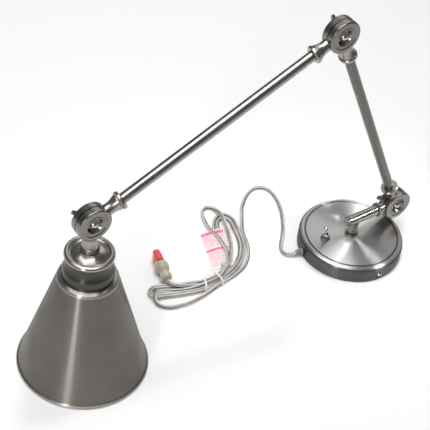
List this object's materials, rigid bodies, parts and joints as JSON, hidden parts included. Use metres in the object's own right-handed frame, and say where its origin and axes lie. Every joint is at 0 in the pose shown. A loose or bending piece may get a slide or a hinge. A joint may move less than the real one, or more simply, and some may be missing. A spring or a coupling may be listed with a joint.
{
  "type": "swing-arm wall lamp",
  "caption": "Plug-in swing-arm wall lamp in brushed nickel: round backplate with toggle switch, swivelling stub, knuckled tube arms and a cone metal shade.",
  "frame": {"origin": "centre of the backplate's mounting face, on the wall bracket's back", "axes": "+Z out of the wall along the backplate's normal, +X from the backplate's centre along the stub arm at rest, +Y completes a right-handed frame; all knuckle axes are parallel to Y"},
  "size_m": [0.5528, 0.2192, 0.3761],
  "materials": {
    "nickel_plate": "brushed nickel plating with a warm grey tone, fine spun and drawn lines",
    "nickel_arm": "brushed nickel plating, lines along the tube",
    "nickel_knuckle": "brushed nickel plating on turned castings, lathe lines on the faces",
    "nickel_shade": "brushed nickel plating, lines round the cone",
    "bright_steel": "polished nickel plating",
    "zinc_steel": "plain zinc-plated steel",
    "brass": "plain machined brass",
    "friction_fibre": "black fibre",
    "phenolic": "black moulded plastic, softly glossy",
    "clear_vinyl": "clear flexible vinyl over tinned copper, slightly yellow",
    "tan_vinyl": "translucent tan flexible vinyl",
    "red_plastic": "red moulded plastic",
    "white_plastic": "white coated tie",
    "tag_paper": "coated white paper with a pale red print"
  },
  "bodies": {
    "base": {"backplate": "nickel_plate", "wall_bracket": "zinc_steel", "side_screw_1": "bright_steel", "side_screw_2": "bright_steel", "swivel_collar": "bright_steel", "switch_body": "phenolic", "switch_bushing": "bright_steel", "switch_nut": "nickel_plate", "cord_strain_relief": "clear_vinyl", "cord_lead": "clear_vinyl", "cord_hank": "clear_vinyl", "plug_body": "tan_vinyl", "plug_blade_1": "brass", "plug_blade_2": "brass", "plug_cap": "red_plastic", "twist_tie_1": "white_plastic", "twist_tie_2": "white_plastic", "warning_tag": "tag_paper"},
    "swivel": {"swivel_post": "nickel_arm", "swivel_washer": "zinc_steel", "swivel_nut": "brass", "stub_tube": "nickel_arm", "stub_end_cap": "nickel_arm", "lower_knuckle_front": "nickel_knuckle", "lower_bolt": "bright_steel", "lower_friction_washer": "friction_fibre", "lower_plain_washer": "zinc_steel"},
    "lower_arm": {"lower_knuckle_rear": "nickel_knuckle", "lower_arm_tube": "nickel_arm", "elbow_knuckle_front": "nickel_knuckle", "elbow_bolt": "bright_steel", "elbow_friction_washer": "friction_fibre", "elbow_plain_washer": "zinc_steel"},
    "upper_arm": {"elbow_knuckle_rear": "nickel_knuckle", "upper_arm_tube": "nickel_arm", "head_knuckle_front": "nickel_knuckle", "head_bolt": "bright_steel", "head_friction_washer": "friction_fibre", "head_plain_washer": "zinc_steel"},
    "head": {"head_knuckle_rear": "nickel_knuckle", "head_nipple": "brass", "head_locknut": "brass", "socket_cover": "nickel_shade", "lampholder_body": "phenolic", "lampholder_screw_shell": "brass", "lampholder_contact": "brass", "shade_ring": "phenolic", "shade": "nickel_shade"},
    "toggle": {"toggle_lever": "bright_steel"},
    "lower_wing": {"lower_wing_nut": "nickel_knuckle"},
    "elbow_wing": {"elbow_wing_nut": "nickel_knuckle"},
    "head_wing": {"head_wing_nut": "nickel_knuckle"}
  },
  "joints": [
    {"name": "base_swivel", "type": "hinge", "parent": "base", "child": "swivel", "pos_m": [0, 0, 0], "axis": [0, 0, 1], "range_deg": [-170, 145]},
    {"name": "lower_knuckle", "type": "hinge", "parent": "swivel", "child": "lower_arm", "pos_m": [0.0651, 0, 0.0455], "axis": [0, -1, 0], "range_deg": [-116.8, 24]},
    {"name": "elbow_knuckle", "type": "hinge", "parent": "lower_arm", "child": "upper_arm", "pos_m": [-0.0918, 0, 0.35612], "axis": [0, 1, 0], "range_deg": [-1.5, 178.5]},
    {"name": "head_knuckle", "type": "hinge", "parent": "upper_arm", "child": "head", "pos_m": [-0.39291, 0, 0.2139], "axis": [0, 1, 0], "range_deg": [-25.3, 154.7]},
    {"name": "toggle_switch", "type": "hinge", "parent": "base", "child": "toggle", "pos_m": [-0.0353, 0.0091, 0.024], "axis": [0, 1, 0], "range_deg": [0, 24]},
    {"name": "lower_wing_turn", "type": "hinge", "parent": "swivel", "child": "lower_wing", "pos_m": [0.0651, 0, 0.0455], "axis": [0, 1, 0], "range_deg": [-180, 180]},
    {"name": "elbow_wing_turn", "type": "hinge", "parent": "lower_arm", "child": "elbow_wing", "pos_m": [-0.0918, 0, 0.35612], "axis": [0, 1, 0], "range_deg": [-180, 180]},
    {"name": "head_wing_turn", "type": "hinge", "parent": "upper_arm", "child": "head_wing", "pos_m": [-0.39291, 0, 0.2139], "axis": [0, 1, 0], "range_deg": [-180, 180]}
  ]
}
